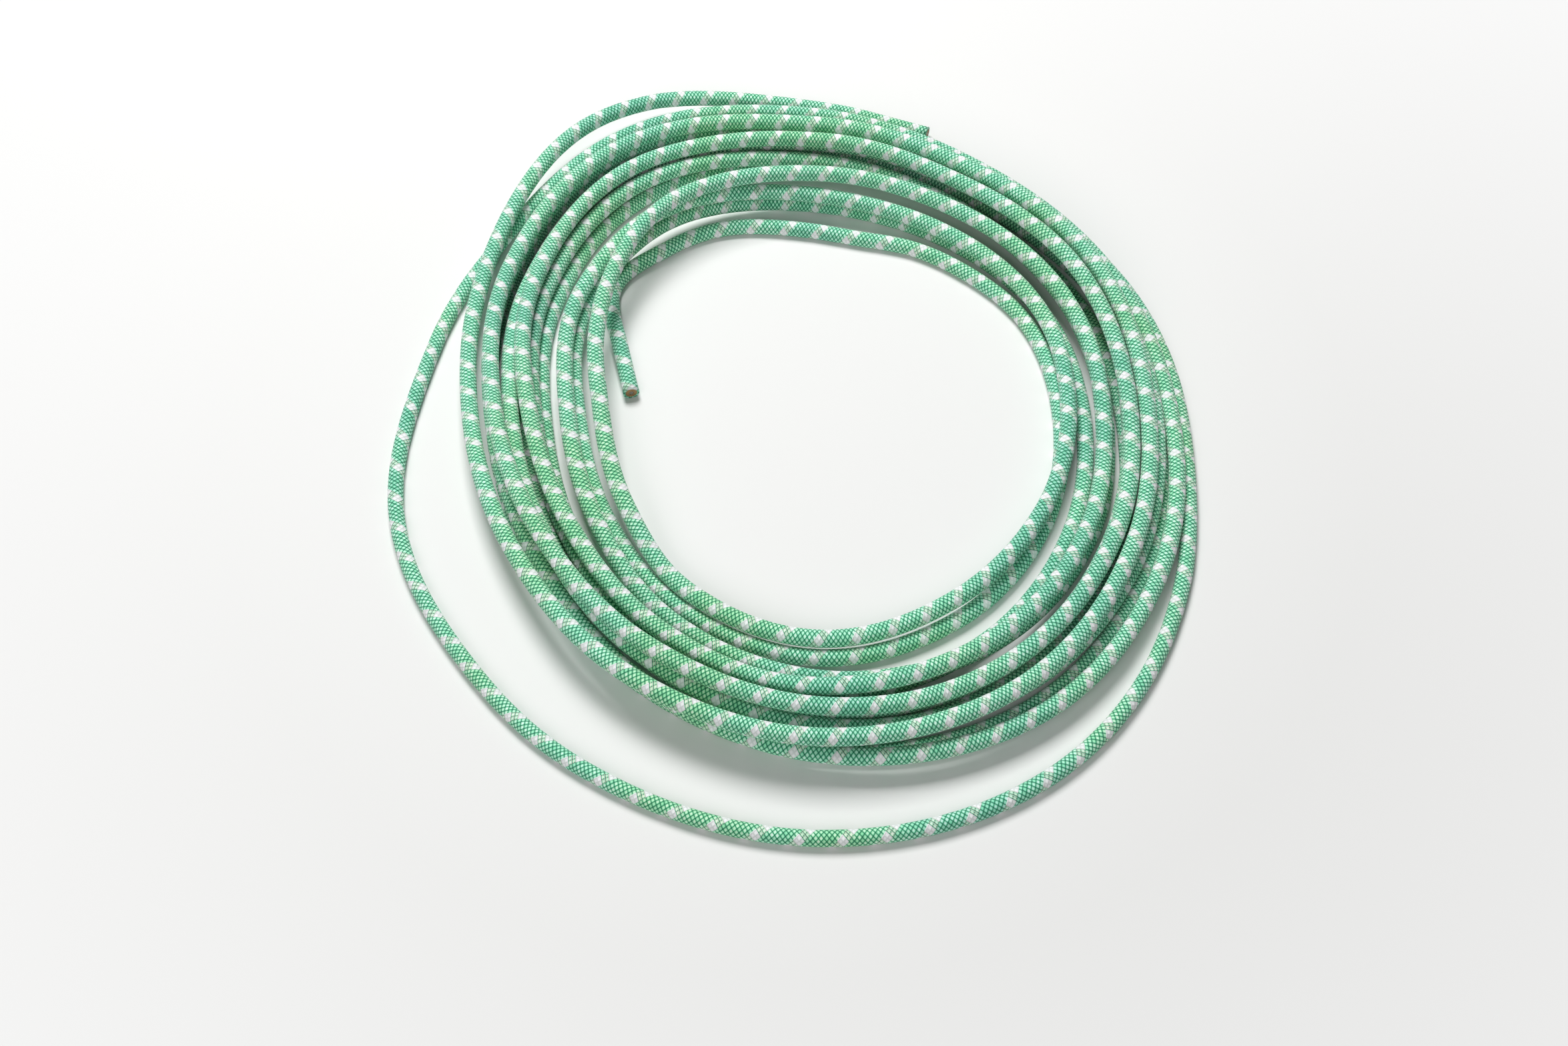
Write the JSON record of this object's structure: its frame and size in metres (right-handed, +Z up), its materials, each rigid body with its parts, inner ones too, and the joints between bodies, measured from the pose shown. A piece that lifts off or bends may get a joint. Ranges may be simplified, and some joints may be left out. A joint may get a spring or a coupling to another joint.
{
  "type": "coiled cotton-covered wire",
  "caption": "Loose hand-laid coil of cotton-braided, rubber-insulated stranded copper wire with a white tracer in its green braid and both ends cut square.",
  "frame": {"origin": "middle of the coil's outline, on the surface that it lies on", "axes": "+Z up from that surface, +Y towards the back where the far end lies behind the heap, +X to the right"},
  "size_m": [0.1678, 0.1922, 0.0136],
  "materials": {
    "braid": "matt green cotton braid with a white tracer",
    "insulation": "matt tan rubber",
    "conductor": "tinned copper strands, cut square"
  },
  "bodies": {
    "root": {"inner_tail": "braid", "lower_coil": "braid", "loose_loop": "braid", "upper_coil": "braid", "outer_tail": "braid", "inner_braid_end": "braid", "inner_insulation_end": "insulation", "inner_strands": "conductor", "outer_braid_end": "braid", "outer_insulation_end": "insulation", "outer_strands": "conductor"}
  },
  "joints": []
}
